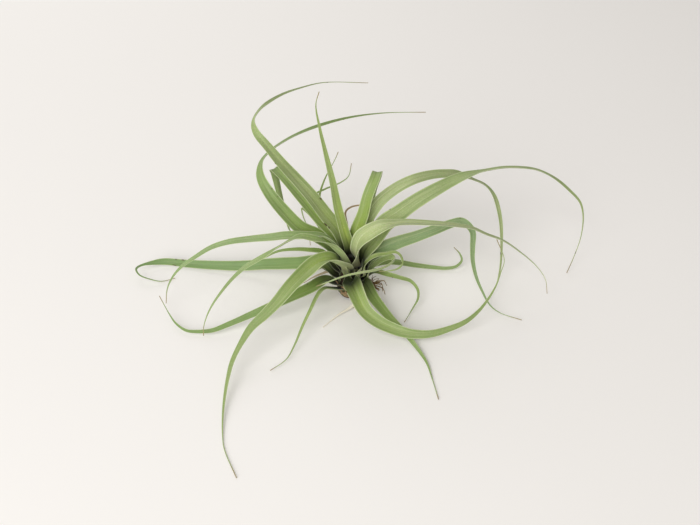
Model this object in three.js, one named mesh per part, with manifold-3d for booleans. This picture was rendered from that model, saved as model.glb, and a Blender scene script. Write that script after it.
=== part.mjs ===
// A curly, strap-leaved air plant with no pot, as it lies on a table: twenty-nine long channelled
// leaves grow from a short stem, arch out all round and end in thin curled tails. Millimetres, +Z up;
// the origin is the middle of the flat spot under the stem, and -Y is the side that faces the viewer.
import * as THREE from 'three';
import { mergeVertices } from 'three/addons/utils/BufferGeometryUtils.js';
import Module from 'manifold-3d';

const wasm = await Module();
wasm.setup();

// The stem: radius and height of its outline, from the flat spot it rests on to its tip.
const STEM_OUTLINE = [
  [4.5, 0], [6.8, 1.5], [7.8, 5], [7.8, 9], [7.2, 14], [6.2, 19], [4.8, 24], [3, 27.5], [1.5, 29.5],
];
const STEM_TIP = 30.5;
const STEM_SIDES = 18;

const ROOT_CLEARANCE = 0.95; // from the stem's skin to the middle of a leaf's cut end
const NECK_LENGTH = 4; // how far a leaf leaves the stem squarely before it bends to its course
const NECK_RISE = 2.5;

const BLADE_THICKNESS = 1; // at the sheath, thinning to TIP_THICKNESS at the tip
const TIP_THICKNESS = 0.62;
const TIP_WIDTH = 1;
const SHEATH_WIDTH = 0.6; // width at the cut end, as a share of the blade's
const SHEATH_LENGTH = 22;
const SHEATH_CHANNEL = 0.27; // how high the edges stand above the midrib, as a share of the width
const BLADE_CHANNEL = 0.15;
const CHANNEL_LENGTH = 45; // from the cut end to where the channel is as shallow as the blade's
const STATION_SPACING = 7.5; // along a straight stretch; closer together where a leaf bends
const BEND_WEIGHT = 15; // a turn of one radian counts as this many millimetres of length

const LEAF_GREEN = 0x8f9f78;
const OLD_LEAF_BROWN = 0x8a6a45;
const STEM_BROWN = 0x7d6a55;
const ROOT_BROWN = 0x6b4a2e;

// Every leaf: where it leaves the stem (bearing in degrees from +X towards +Y, height), the width of
// its blade, how fast it narrows (1 is a straight taper, less keeps it broad), and its midrib. Some
// also have a clasp and a fold of their own, in place of SHEATH_WIDTH and SHEATH_CHANNEL; a twist, the
// degrees that the blade has turned about its midrib by each share of its length; and a thinning: the
// shares of the length where it starts and ends, and the share of the width that it leaves.
const LEAVES = [
  { name: 'leaf_rear_left_tall', bearing: 135, height: 26.6, width: 12, taper: 1.2, clasp: 0.36,
    twist: [[0.4, 0], [0.49, -55], [0.6, 10]], thins: [0.36, 0.52, 0.6],
    midrib: [[-4.8, 7.3, 38], [-8.6, 9, 48], [-16, 9, 60], [-25, 8, 76], [-34, 7, 90], [-43, 5, 104],
      [-51, 8, 114], [-58, 14, 121], [-60, 22, 124], [-56, 38, 124], [-46, 60, 120], [-34, 80, 114],
      [-17, 102, 106], [13, 119, 96]] },
  { name: 'leaf_rear_left_folded', bearing: 134, height: 23.2, width: 11.5, taper: 0.95, clasp: 0.36,
    midrib: [[-6.5, 9.2, 37], [-21.5, 16, 53], [-32, 23, 63.4], [-45, 34, 73.6], [-51, 42, 74],
      [-51, 46, 68], [-49, 47, 52], [-46, 54, 26], [-44, 60, 8], [-42, 68, 0.8]] },
  { name: 'leaf_rear_left_swept', bearing: 140, height: 19.2, width: 12, taper: 1.15,
    twist: [[0.25, -10], [0.4, -65], [0.7, 0]], thins: [0.26, 0.42, 0.68],
    midrib: [[-13, 10, 33], [-22, 11, 41], [-33, 11, 48], [-44, 16, 58], [-53, 22, 68], [-59, 31, 76],
      [-59, 41, 80], [-54, 51, 82], [-41, 68, 82], [-23, 88, 79], [0, 108, 74], [26, 124, 68],
      [57, 135, 62]] },
  { name: 'leaf_centre_upright', bearing: 110, height: 29, width: 8.5, taper: 0.95,
    midrib: [[-1, 3.5, 38], [-4, 6, 50], [-8, 7, 68], [-11, 7, 88], [-15, 11, 106], [-19, 16, 124],
      [-21, 22, 136], [-19, 27, 142]] },
  { name: 'leaf_rear_thin_straight', bearing: 103, height: 18.5, width: 4, taper: 0.9,
    midrib: [[-16, 29, 38], [-21, 37, 52], [-18, 43, 63], [-10, 53, 75], [-8, 57, 78]] },
  { name: 'leaf_rear_thin_curl', bearing: 112, height: 15, width: 3, taper: 0.7,
    midrib: [[-19, 31, 34], [-25, 39, 44], [-25, 45, 50], [-17, 46, 55], [-6, 47, 60], [-1, 50, 63],
      [1, 55, 70]] },
  { name: 'leaf_rear_dry_curl', bearing: 88, height: 16, width: 2.4, taper: 0.6, dry: true,
    midrib: [[-2, 34, 32], [-3, 37, 42], [1, 40, 44], [12, 42, 44], [19, 42, 40]] },
  { name: 'leaf_rear_hanging', bearing: 136, height: 14.6, width: 3.2, taper: 0.8,
    midrib: [[-21, 32, 32], [-30, 37, 42], [-33, 38, 44], [-32, 36, 38], [-29, 36, 28], [-28, 35, 14]] },
  { name: 'leaf_rear_right_upright', bearing: 60, height: 26.5, width: 10.5, taper: 0.85, clasp: 0.3,
    midrib: [[3.7, 7, 38], [5.2, 9, 48], [9, 11, 60], [12, 15, 72], [16, 21, 80], [18, 28, 81],
      [18, 35, 72], [16, 41, 58], [15, 46, 44], [16, 54, 22], [18, 62, 6], [19, 72, 0.8]] },
  { name: 'leaf_right_arched', bearing: 86, height: 22, width: 10.5, taper: 1.05, clasp: 0.43,
    twist: [[0.45, 0], [0.57, -55], [0.68, 0]],
    midrib: [[3.2, 13.4, 36], [7.2, 14, 46], [13, 14.6, 57], [20, 18, 66], [30, 23, 72], [41, 27, 76],
      [53, 34, 75], [64, 40, 72], [73, 45, 68], [84, 47, 62], [93, 47, 57], [99, 43, 51], [104, 36, 36],
      [105, 24, 19], [104, 15, 10], [100, 2, 4], [91, -14, 2.5]] },
  { name: 'leaf_right_long', bearing: 28, height: 21, width: 15, taper: 1.45, clasp: 0.38,
    twist: [[0.14, 40], [0.32, 42], [0.47, -28], [0.6, -10], [0.8, 60]],
    midrib: [[10.1, 4.3, 33.5], [15.8, 6.9, 42], [23, 12, 51], [32, 15, 57], [42, 19, 63], [56, 25, 69],
      [68, 31, 72], [79, 35, 74], [101, 43, 74], [115, 48, 71], [128, 51, 67], [141, 51, 60],
      [153, 50, 50], [161, 49, 41], [164, 46, 31], [163, 39, 18], [158, 30, 7], [152, 19, 2]] },
  { name: 'leaf_front_right_silver', bearing: 334, height: 25.2, width: 13, taper: 1.15, clasp: 0.48,
    fold: 0.4, twist: [[0.1, 55], [0.18, 88], [0.3, 32]],
    midrib: [[5.6, -3.6, 32], [5.4, -3.6, 38.5], [6, -3.2, 45], [8.2, -2.4, 50.6], [12.6, -1.8, 54.8],
      [20.4, -1, 58.4], [28.5, 0, 59.6], [38, 0.6, 60], [55, 1, 59], [69, 3, 56], [80, 4, 53],
      [90, 4, 48], [101, 4, 43], [113, 2, 35], [125, -1, 25], [132, -3, 15], [134, -6, 5]] },
  { name: 'leaf_right_folded', bearing: 17, height: 16.5, width: 12, taper: 1.25, clasp: 0.47,
    twist: [[0.14, 40], [0.45, 45], [0.6, 65]],
    midrib: [[13, 5.5, 28], [23, 8.4, 33], [33, 10, 37], [44, 12, 40], [56, 14, 44], [67, 18, 46],
      [75, 21, 46], [80, 20, 43], [83, 19, 38], [83, 13, 31], [83, 7, 24], [85, -2, 17], [89, -9, 10],
      [94, -18, 5], [100, -23, 3], [114, -29, 2]] },
  { name: 'leaf_right_low', bearing: 45, height: 11, width: 5.5, taper: 0.6,
    twist: [[0.25, 50], [0.8, 50], [1, 0]],
    midrib: [[21, 21, 10], [32, 26, 6], [47, 26, 3], [59, 25, 2], [68, 24, 2], [75, 25, 3], [79, 29, 5],
      [78, 34, 7], [74, 39, 9]] },
  { name: 'leaf_right_looped', bearing: 348, height: 13, width: 5, taper: 0.55, twist: [[0.32, 75]],
    midrib: [[12.5, -2.2, 20], [17, 0.4, 25], [22.9, 4, 27.6], [27.5, 4, 29.4], [29.8, 0, 30.3],
      [27.2, -5, 30.4], [21.8, -10, 30.8], [15.8, -14, 32], [7.9, -18, 33.8], [0, -20, 33.6],
      [-7.8, -22, 32.3], [-15.7, -23, 29.3], [-22, -23, 26.5]] },
  { name: 'leaf_right_curled', bearing: 338, height: 17.3, width: 4.4, taper: 0.75, clasp: 0.54,
    twist: [[0.4, 60]],
    midrib: [[9.7, -4.6, 28], [12.7, -3.4, 32.8], [17.4, -2.2, 35.4], [24.2, 0, 34.9], [29.5, 2, 34.8],
      [32.8, 1, 33.7], [34.7, -1.5, 31], [34, -4, 28], [30.7, -6, 26.7], [24.7, -7, 26],
      [19.3, -8, 26.5]] },
  { name: 'leaf_right_drooping', bearing: 18, height: 10, width: 4.4, taper: 0.9, twist: [[0.3, 35]],
    midrib: [[16.6, 4.3, 16], [25.5, 3.7, 14], [35.3, 2, 12], [41.5, 1.7, 9.5], [46, -4, 7], [46, -11, 5],
      [42, -19, 3], [36, -31, 2]] },
  { name: 'leaf_front_swept', bearing: 288, height: 17, width: 14, taper: 1.55, clasp: 0.68, fold: 0.4,
    twist: [[0.3, 0], [0.42, 30], [0.6, 20]],
    midrib: [[1, -13, 20.5], [2, -18.5, 21.8], [4.5, -26, 21], [10, -37, 17], [18.5, -43, 13],
      [30, -47, 10], [40, -48, 8], [52, -47, 7], [63, -44, 8], [75, -39, 10], [84, -32, 13],
      [91, -25, 18], [96, -19, 24], [99, -14, 31], [101, -10, 38], [96, -2, 49]] },
  { name: 'leaf_front_right_low', bearing: 318, height: 11.5, width: 10, taper: 1.45, clasp: 0.5,
    twist: [[0.22, 45]],
    midrib: [[9.8, -8, 16.5], [11.8, -10.6, 15.2], [14.4, -14.4, 12.5], [18.6, -20, 9.5], [27.2, -32, 6],
      [37, -44, 3], [44, -56, 1.5], [49, -68, 1], [51, -79, 0.8], [54, -98, 0.8]] },
  { name: 'leaf_front_left_broad', bearing: 238, height: 23.6, width: 16, taper: 1.75, clasp: 0.39,
    fold: 0.4, twist: [[0.1, -23], [0.2, -52], [0.38, -50], [0.55, -25]],
    midrib: [[-5.2, -8.3, 30.3], [-8.4, -10.2, 35], [-13.5, -11.4, 38.6], [-20.6, -15, 39.4],
      [-27, -20, 38.2], [-37, -32, 35.6], [-46, -42, 30], [-54, -49, 25], [-62, -55, 20], [-68, -64, 15],
      [-73, -75, 10], [-75, -87, 7], [-76, -99, 4], [-76, -112, 2], [-75, -125, 1], [-73, -136, 0.8],
      [-64, -157, 0.8]] },
  { name: 'leaf_left_low', bearing: 205, height: 11, width: 9.5, taper: 1.15, twist: [[0.2, -45]],
    midrib: [[-16, -3, 14], [-27, -12, 15], [-40, -20, 14], [-53, -27, 12], [-66, -32, 9], [-79, -37, 6],
      [-90, -41, 4], [-99, -41, 3], [-107, -40, 3], [-114, -35, 4], [-119, -28, 5], [-128, -13, 9]] },
  { name: 'leaf_left_flat', bearing: 160, height: 12, width: 9.5, taper: 0.55,
    twist: [[0.18, -48], [0.72, -48], [0.85, -10]], thins: [0.7, 0.8, 0.4],
    midrib: [[-21, 11, 18], [-36, 13, 16], [-56, 18, 11], [-76, 22, 6], [-96, 25, 4], [-116, 28, 3],
      [-131, 29, 4], [-141, 26, 5], [-147, 22, 6], [-149, 17, 7], [-146, 12, 6], [-139, 10, 4],
      [-131, 10, 2], [-122, 14, 1.5]] },
  { name: 'leaf_left_arched', bearing: 199, height: 27.2, width: 7.5, taper: 0.8, clasp: 0.37,
    twist: [[0.12, 0], [0.32, -78]],
    midrib: [[-6, -1, 35.5], [-10.4, 0.1, 43], [-18, 4, 46.5], [-29, 3, 48], [-41, 1, 50], [-52, -1, 50],
      [-65, -2, 49.3], [-79, -4, 48.5], [-91, -4, 43.8], [-101, -6, 38], [-111, -8, 31], [-118, -10, 23],
      [-122, -13, 15], [-123, -18, 7]] },
  { name: 'leaf_left_over', bearing: 261, height: 26.8, width: 6.2, taper: 0.85, clasp: 0.4,
    twist: [[0.12, 0], [0.28, -92], [0.41, -30], [0.56, -100]],
    midrib: [[-3.2, -5.9, 34], [-6.8, -4.2, 38.8], [-11, -3.8, 43.3], [-17, -5, 49], [-25, -6, 53],
      [-32, -7, 55], [-39, -10, 54], [-45, -13, 52], [-53, -16, 48], [-61, -18, 44], [-68, -20, 40],
      [-76, -24, 34], [-83, -30, 28], [-89, -35, 21], [-93, -39, 14], [-95, -43, 8], [-95, -46, 4]] },
  { name: 'leaf_left_short', bearing: 165, height: 17.5, width: 4.6, taper: 0.85, twist: [[0.3, -30]],
    midrib: [[-18, 10, 28], [-28, 8, 32], [-38, 6, 34], [-48, 4, 34], [-57, 1, 31], [-67, -3, 27]] },
  { name: 'leaf_left_tucked', bearing: 190, height: 15, width: 5.5, taper: 0.8, twist: [[0.5, -35]],
    midrib: [[-18, 2, 22], [-24, 0, 21], [-32, -5, 17], [-39, -9, 12]] },
  { name: 'leaf_left_withered', bearing: 140, height: 7, width: 4.5, taper: 0.8, dry: true,
    midrib: [[-14, 12, 9], [-19, 11, 8], [-26, 9, 6], [-32, 6, 4]] },
  { name: 'leaf_front_left_small', bearing: 230, height: 9.5, width: 3.8, taper: 0.9,
    midrib: [[-12, -12, 14.5], [-16.6, -15, 17.4], [-19.8, -19, 18], [-22.7, -25, 17], [-25.6, -32, 14.6],
      [-30.5, -42, 9.5], [-36, -56, 4], [-40.6, -66, 2.4], [-50, -75, 2]] },
  { name: 'leaf_front_straw', bearing: 300, height: 4, width: 2, taper: 0.8, dry: true,
    midrib: [[5, -12, 4], [0, -17, 2], [-7, -23, 2], [-13, -29, 1], [-18, -35, 1]] },
];

// The wiry roots: each leaves the woody knot, drops and curls.
const KNOT_CENTRE = [12.3, -1, 7.5];
const KNOT_RADIUS = 2.6;
const WIRE_RADIUS = 0.55;
const WIRES = [
  [[14, -1, 8], [18, -2, 11.5], [21.5, -3, 11], [22, -6, 7]],
  [[14, -1, 8], [18, 2, 5], [22.5, 1.5, 3], [24, -3, 1.5]],
  [[14, -1, 8], [18.5, 0, 9.5], [23, 0.5, 11], [25, -2.5, 9]],
  [[14, -1, 8], [16.5, -4, 5], [20, -7, 2], [23, -11, 1.2]],
  [[14, -1, 8], [18, -2, 6], [20, 1, 1.5], [16, 6, 1.2]],
];

const UP = new THREE.Vector3(0, 0, 1);

function stemRadius(height) {
  for (let i = 1; i < STEM_OUTLINE.length; i++) {
    const [r0, z0] = STEM_OUTLINE[i - 1];
    const [r1, z1] = STEM_OUTLINE[i];
    if (height <= z1) {
      return r0 + ((r1 - r0) * (height - z0)) / (z1 - z0);
    }
  }
  return 0;
}

function material(name, color) {
  return new THREE.MeshStandardMaterial({ name, color, roughness: 0.75, metalness: 0 });
}

function named(name, geometry, surface) {
  const mesh = new THREE.Mesh(geometry, surface);
  mesh.name = name;
  return mesh;
}

// A closed mesh from a list of points and a list of triangles.
function solid(points, triangles) {
  const geometry = new THREE.BufferGeometry();
  geometry.setAttribute('position', new THREE.Float32BufferAttribute(points.flat(), 3));
  geometry.setIndex(triangles.flat());
  geometry.computeVertexNormals();
  return geometry;
}

// A leaf's midrib: it leaves the stem squarely through a short neck, then follows its own points.
function midribCurve(leaf) {
  const angle = THREE.MathUtils.degToRad(leaf.bearing);
  const outward = new THREE.Vector3(Math.cos(angle), Math.sin(angle), 0);
  const root = outward.clone().multiplyScalar(stemRadius(leaf.height) + ROOT_CLEARANCE);
  root.z = leaf.height;
  const neck = root.clone().addScaledVector(outward, NECK_LENGTH * leafLean(leaf));
  neck.z += NECK_RISE;
  const points = leaf.midrib.map((p) => new THREE.Vector3(...p));
  return new THREE.CatmullRomCurve3([root, neck, ...points], false, 'centripetal');
}

// Upper leaves leave the stem steeply, lower ones flatter.
function leafLean(leaf) {
  return THREE.MathUtils.clamp(1.4 - leaf.height / 30, 0.35, 1);
}

// Shares of the curve at which the leaf gets a cross-section: even steps of length and of turning.
function stationShares(curve) {
  const samples = 300;
  const cost = [0];
  let last = curve.getPoint(0);
  let lastTangent = curve.getTangent(0);
  for (let i = 1; i <= samples; i++) {
    const point = curve.getPoint(i / samples);
    const tangent = curve.getTangent(i / samples);
    const step = point.distanceTo(last) + BEND_WEIGHT * tangent.angleTo(lastTangent);
    cost.push(cost[i - 1] + step);
    last = point;
    lastTangent = tangent;
  }
  const count = Math.max(5, Math.round(cost[samples] / STATION_SPACING));
  const shares = [0];
  let i = 0;
  for (let k = 1; k < count; k++) {
    const target = (cost[samples] * k) / count;
    while (cost[i + 1] < target) {
      i++;
    }
    shares.push((i + (target - cost[i]) / (cost[i + 1] - cost[i])) / samples);
  }
  shares.push(1);
  return shares;
}

// Carries a leaf's upper-side direction from one station to the next with no added twist.
function carry(normal, from, to, tangentFrom, tangentTo) {
  const v1 = to.clone().sub(from);
  const c1 = v1.lengthSq();
  const n = normal.clone().addScaledVector(v1, (-2 * v1.dot(normal)) / c1);
  const t = tangentFrom.clone().addScaledVector(v1, (-2 * v1.dot(tangentFrom)) / c1);
  const v2 = tangentTo.clone().sub(t);
  const c2 = v2.lengthSq();
  return c2 < 1e-12 ? n : n.addScaledVector(v2, (-2 * v2.dot(n)) / c2);
}

function bladeWidth(leaf, length, share) {
  const along = share * length;
  const opening = THREE.MathUtils.smoothstep(along, 0, SHEATH_LENGTH);
  const clasp = leaf.clasp ?? SHEATH_WIDTH;
  const sheath = clasp + (1 - clasp) * opening;
  const [start, end, left] = leaf.thins ?? [0, 1, 1];
  const thinned = 1 - (1 - left) * THREE.MathUtils.smoothstep(share, start, end);
  return Math.max(TIP_WIDTH, leaf.width * sheath * thinned * (1 - share) ** leaf.taper);
}

// How far a leaf has turned about its own midrib, in radians, at a share of its length.
function leafTwist(leaf, share) {
  let from = 0;
  let turned = 0;
  for (const [to, degrees] of leaf.twist ?? []) {
    if (share < to) {
      const part = THREE.MathUtils.smoothstep(share, from, to);
      return THREE.MathUtils.degToRad(turned + (degrees - turned) * part);
    }
    from = to;
    turned = degrees;
  }
  return THREE.MathUtils.degToRad(turned);
}

function channelDepth(leaf, along) {
  const opening = THREE.MathUtils.smoothstep(along, 0, CHANNEL_LENGTH);
  return THREE.MathUtils.lerp(leaf.fold ?? SHEATH_CHANNEL, BLADE_CHANNEL, opening);
}

// The leaf itself: a channelled strap, three points across above and three below at each station.
function leafGeometry(leaf) {
  const curve = midribCurve(leaf);
  const shares = stationShares(curve);
  const places = shares.map((u) => curve.getPoint(u));
  const tangents = shares.map((u) => curve.getTangent(u));
  const lengths = [0];
  for (let i = 1; i < places.length; i++) {
    lengths.push(lengths[i - 1] + places[i].distanceTo(places[i - 1]));
  }
  const length = lengths[lengths.length - 1];
  const outward = new THREE.Vector3(places[0].x, places[0].y, 0).normalize();
  let normal = UP.clone().sub(outward);
  normal.addScaledVector(tangents[0], -normal.dot(tangents[0])).normalize();
  const points = [];
  for (let i = 0; i < places.length; i++) {
    if (i > 0) {
      normal = carry(normal, places[i - 1], places[i], tangents[i - 1], tangents[i]).normalize();
    }
    const share = lengths[i] / length;
    const up = normal.clone().applyAxisAngle(tangents[i], leafTwist(leaf, share));
    const side = tangents[i].clone().cross(up).normalize();
    const width = bladeWidth(leaf, length, share);
    const half = THREE.MathUtils.lerp(BLADE_THICKNESS, TIP_THICKNESS, share) / 2;
    const rise = width * channelDepth(leaf, lengths[i]);
    for (const face of [1, -1]) {
      for (const across of [-1, 0, 1]) {
        const p = places[i].clone();
        p.addScaledVector(side, (across * width) / 2);
        p.addScaledVector(up, face * half + Math.abs(across) * rise);
        points.push(p.toArray());
      }
    }
  }
  return solid(points, strapTriangles(places.length));
}

// Triangles of a strap with six points a station: 0 1 2 above, 3 4 5 below, left to right.
function strapTriangles(stations) {
  const triangles = [];
  const quad = (a, b, c, d) => triangles.push([a, b, c], [a, c, d]);
  for (let i = 0; i + 1 < stations; i++) {
    const a = i * 6;
    const b = a + 6;
    quad(a, a + 1, b + 1, b);
    quad(a + 1, a + 2, b + 2, b + 1);
    triangles.push([a + 3, b + 4, a + 4], [a + 3, b + 3, b + 4]);
    triangles.push([a + 4, b + 5, a + 5], [a + 4, b + 4, b + 5]);
    quad(a + 3, a, b, b + 3);
    quad(a + 2, a + 5, b + 5, b + 2);
  }
  const end = (stations - 1) * 6;
  quad(0, 3, 4, 1);
  quad(1, 4, 5, 2);
  quad(end, end + 1, end + 4, end + 3);
  quad(end + 1, end + 2, end + 5, end + 4);
  return triangles;
}

function stemGeometry() {
  const outline = [[0, 0], ...STEM_OUTLINE, [0, STEM_TIP]].map(([r, z]) => new THREE.Vector2(r, z));
  return new THREE.LatheGeometry(outline, STEM_SIDES).rotateX(Math.PI / 2);
}

function toManifold(geometry) {
  const bare = geometry.clone();
  bare.deleteAttribute('normal');
  bare.deleteAttribute('uv');
  const merged = mergeVertices(bare, 1e-4);
  const vertProperties = Float32Array.from(merged.attributes.position.array);
  const triVerts = Uint32Array.from(merged.index.array);
  return new wasm.Manifold(new wasm.Mesh({ numProp: 3, vertProperties, triVerts }));
}

function fromManifold(body) {
  const mesh = body.getMesh();
  const geometry = new THREE.BufferGeometry();
  geometry.setAttribute('position', new THREE.Float32BufferAttribute(mesh.vertProperties, 3));
  geometry.setIndex(Array.from(mesh.triVerts));
  geometry.computeVertexNormals();
  return geometry;
}

// The roots: a small woody knot beside the stem's foot with curling wires fused into it.
function rootsGeometry() {
  const knot = new THREE.SphereGeometry(KNOT_RADIUS, 8, 6).translate(...KNOT_CENTRE);
  let body = toManifold(knot);
  const section = new THREE.Shape(new THREE.Path().absarc(0, 0, WIRE_RADIUS, 0, 2 * Math.PI).getPoints(2));
  for (const route of WIRES) {
    const extrudePath = new THREE.CatmullRomCurve3(route.map((p) => new THREE.Vector3(...p)));
    const wire = new THREE.ExtrudeGeometry(section, { extrudePath, steps: 8, bevelEnabled: false });
    body = body.add(toManifold(wire));
  }
  return fromManifold(body);
}

const group = new THREE.Group();
group.add(named('stem', stemGeometry(), material('dry_stem', STEM_BROWN)));
group.add(named('roots', rootsGeometry(), material('wiry_root', ROOT_BROWN)));
for (const leaf of LEAVES) {
  const color = leaf.dry ? OLD_LEAF_BROWN : LEAF_GREEN;
  group.add(named(leaf.name, leafGeometry(leaf), material(leaf.dry ? 'dry_leaf' : 'leaf', color)));
}

export default group;
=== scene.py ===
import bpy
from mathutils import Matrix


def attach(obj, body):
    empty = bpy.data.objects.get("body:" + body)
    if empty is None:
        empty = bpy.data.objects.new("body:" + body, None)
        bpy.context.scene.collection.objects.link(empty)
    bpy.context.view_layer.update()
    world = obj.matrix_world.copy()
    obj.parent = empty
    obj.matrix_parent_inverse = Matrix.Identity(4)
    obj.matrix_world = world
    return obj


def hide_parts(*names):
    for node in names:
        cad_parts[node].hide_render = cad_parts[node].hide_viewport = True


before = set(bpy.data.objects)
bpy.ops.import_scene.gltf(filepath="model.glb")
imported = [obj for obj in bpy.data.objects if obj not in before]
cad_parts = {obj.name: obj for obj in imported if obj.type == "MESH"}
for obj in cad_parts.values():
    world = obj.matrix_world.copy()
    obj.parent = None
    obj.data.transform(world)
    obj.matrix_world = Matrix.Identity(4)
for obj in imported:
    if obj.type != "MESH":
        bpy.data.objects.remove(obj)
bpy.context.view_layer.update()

import math
import random

import bpy
import numpy as np

# ---------------------------------------------------------------------------------------------------
# Stem. A short woody foot, grown as one, with a small worn flat that it stands on and a pointed top
# hidden in the leaves. Papery brown stubs of leaves that have died off wrap it, lapped like roof tiles.

MM = 0.001
# The radius and height of each ring of the core, in mm, from the flat up to the last before its point.
STEM_OUTLINE = [(4.5, 0), (6.8, 1.5), (7.8, 5), (7.8, 9), (7.2, 14), (6.2, 19), (4.8, 24),
                (3, 27.5), (1.5, 29.5)]
STEM_POINT = (0.4, 30.5)
STEM_SIDES = 54
STEM_SMOOTH_ANGLE = math.radians(50)

STUB_ROWS = 3
STUBS_IN_ROW = 9
LOWEST_ROW = 2.5
ROW_RISE = 3.2
STUB_LENGTH = 5.2 * MM
STUB_WIDTH = 6.4 * MM
STUB_THICKNESS = 0.35 * MM
STUB_TAPER = 0.75
STUB_BOW = 2.4 * MM
STUB_FLARE = 0.5 * MM
STUB_STANDOFF = 0.15
STUB_LEAN = -0.32
BEARING_SCATTER = 0.1
LENGTH_SCATTER = 0.2

# Dark brown bark, made darker still as painted shade for the hollow among the leaf bases.
SHADED_STEM_BARK = "#3A2C1E"
BARK_CRACK = "#1F1710"
STUB_BROWN = "#7A6044"
STUB_PALE = "#A58F6C"
# Repeats to the metre in x, y and z: cracks 1.1 mm apart and 4.5 mm long in the bark, and fibres
# 0.6 mm apart and 5.6 mm long in the stubs.
BARK_CRACKS = (900, 900, 220)
STUB_FIBRES = (1600, 1600, 180)


def linear(hex_colour):
    """The linear RGBA of an sRGB hex colour."""
    parts = [int(hex_colour[i:i + 2], 16) / 255 for i in (1, 3, 5)]
    return (*[c / 12.92 if c <= 0.04045 else ((c + 0.055) / 1.055) ** 2.4 for c in parts], 1)


def add_node(tree, kind, settings=None, inputs=None):
    """Adds a node with its settings, and gives each input a value or a link."""
    node = tree.nodes.new(kind)
    for name, value in (settings or {}).items():
        setattr(node, name, value)
    for socket, value in (inputs or {}).items():
        if isinstance(value, bpy.types.NodeSocket):
            tree.links.new(value, node.inputs[socket])
        else:
            node.inputs[socket].default_value = value
    return node


def blank_material(name, roughness, specular):
    """A new material with only its shader; returns it with its node tree and shader."""
    material = bpy.data.materials.new(name)
    material.use_nodes = True
    tree = material.node_tree
    shader = tree.nodes["Principled BSDF"]
    shader.inputs["Roughness"].default_value = roughness
    shader.inputs["Specular IOR Level"].default_value = specular
    return material, tree, shader


def cover(tree, maps, *terms):
    """How thickly a coat of colour lies: the product of its terms, each of them the name of a map, or
    a map's name, where its smooth ramp starts and ends, and what the ramp gives at those two."""
    share = None
    for term in terms:
        if isinstance(term, str):
            value = maps[term]
        else:
            title, low, high, bottom, top = term
            value = add_node(tree, "ShaderNodeMapRange", {"interpolation_type": "SMOOTHSTEP"},
                             {0: maps[title], 1: low, 2: high, 3: bottom, 4: top}).outputs[0]
        if share is None:
            share = value
        else:
            share = add_node(tree, "ShaderNodeMath", {"operation": "MULTIPLY"},
                             {0: share, 1: value}).outputs[0]
    return share


def coated(tree, maps, ground, coats):
    """Lays coats over a ground colour, one on another. A coat is its colour and the terms of its cover."""
    colour = linear(ground)
    for paint, *terms in coats:
        coat = {0: cover(tree, maps, *terms), 6: colour, 7: linear(paint)}
        colour = add_node(tree, "ShaderNodeMix", {"data_type": "RGBA"}, coat).outputs[2]
    return colour


def only(piece):
    """Selects one piece and nothing else."""
    bpy.ops.object.select_all(action="DESELECT")
    piece.select_set(True)
    bpy.context.view_layer.objects.active = piece


def settle(piece):
    """Puts a piece's place, turn and size into its mesh."""
    only(piece)
    bpy.ops.object.transform_apply(location=True, rotation=True, scale=True)


def join(pieces, name):
    """Joins pieces into the first, under a new name."""
    only(pieces[0])
    for piece in pieces[1:]:
        piece.select_set(True)
    bpy.ops.object.join()
    pieces[0].name = name
    pieces[0].data.name = name
    return pieces[0]


def stem_radius(height):
    """The stem's radius at a height, both in mm."""
    return float(np.interp(height, [z for r, z in STEM_OUTLINE], [r for r, z in STEM_OUTLINE]))


def woody_stem_bark():
    # Grown bark: brown, matt and cracked, darkened with painted shade so the core reads as a dark hollow.
    material, tree, shader = blank_material("grown_stem_bark", roughness=0.9, specular=0.25)
    coords = add_node(tree, "ShaderNodeTexCoord").outputs["Object"]
    cracks = add_node(tree, "ShaderNodeMapping", {}, {0: coords, 3: BARK_CRACKS}).outputs[0]
    grain = add_node(tree, "ShaderNodeTexNoise", {},
                     {"Vector": cracks, "Scale": 1.0, "Detail": 5.0}).outputs[0]
    colour = coated(tree, {"grain": grain}, BARK_CRACK, [(SHADED_STEM_BARK, ("grain", 0.35, 0.7, 0, 1))])
    tree.links.new(colour, shader.inputs["Base Color"])
    bump = add_node(tree, "ShaderNodeBump", {}, {"Strength": 0.8, "Distance": 0.4 * MM, "Height": grain})
    tree.links.new(bump.outputs[0], shader.inputs["Normal"])
    return material


def papery_stub():
    # Dead leaf bases: papery, torn and sun-bleached in streaks, which gives a pale brown, fibrous look.
    material, tree, shader = blank_material("papery_dead_leaf_base", roughness=0.85, specular=0.25)
    coords = add_node(tree, "ShaderNodeTexCoord").outputs["Object"]
    fibres = add_node(tree, "ShaderNodeMapping", {}, {0: coords, 3: STUB_FIBRES}).outputs[0]
    grain = add_node(tree, "ShaderNodeTexNoise", {},
                     {"Vector": fibres, "Scale": 1.0, "Detail": 4.0}).outputs[0]
    colour = coated(tree, {"grain": grain}, STUB_BROWN, [(STUB_PALE, ("grain", 0.3, 0.7, 0, 1))])
    tree.links.new(colour, shader.inputs["Base Color"])
    bump = add_node(tree, "ShaderNodeBump", {}, {"Strength": 0.5, "Distance": 0.2 * MM, "Height": grain})
    tree.links.new(bump.outputs[0], shader.inputs["Normal"])
    return material


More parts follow.
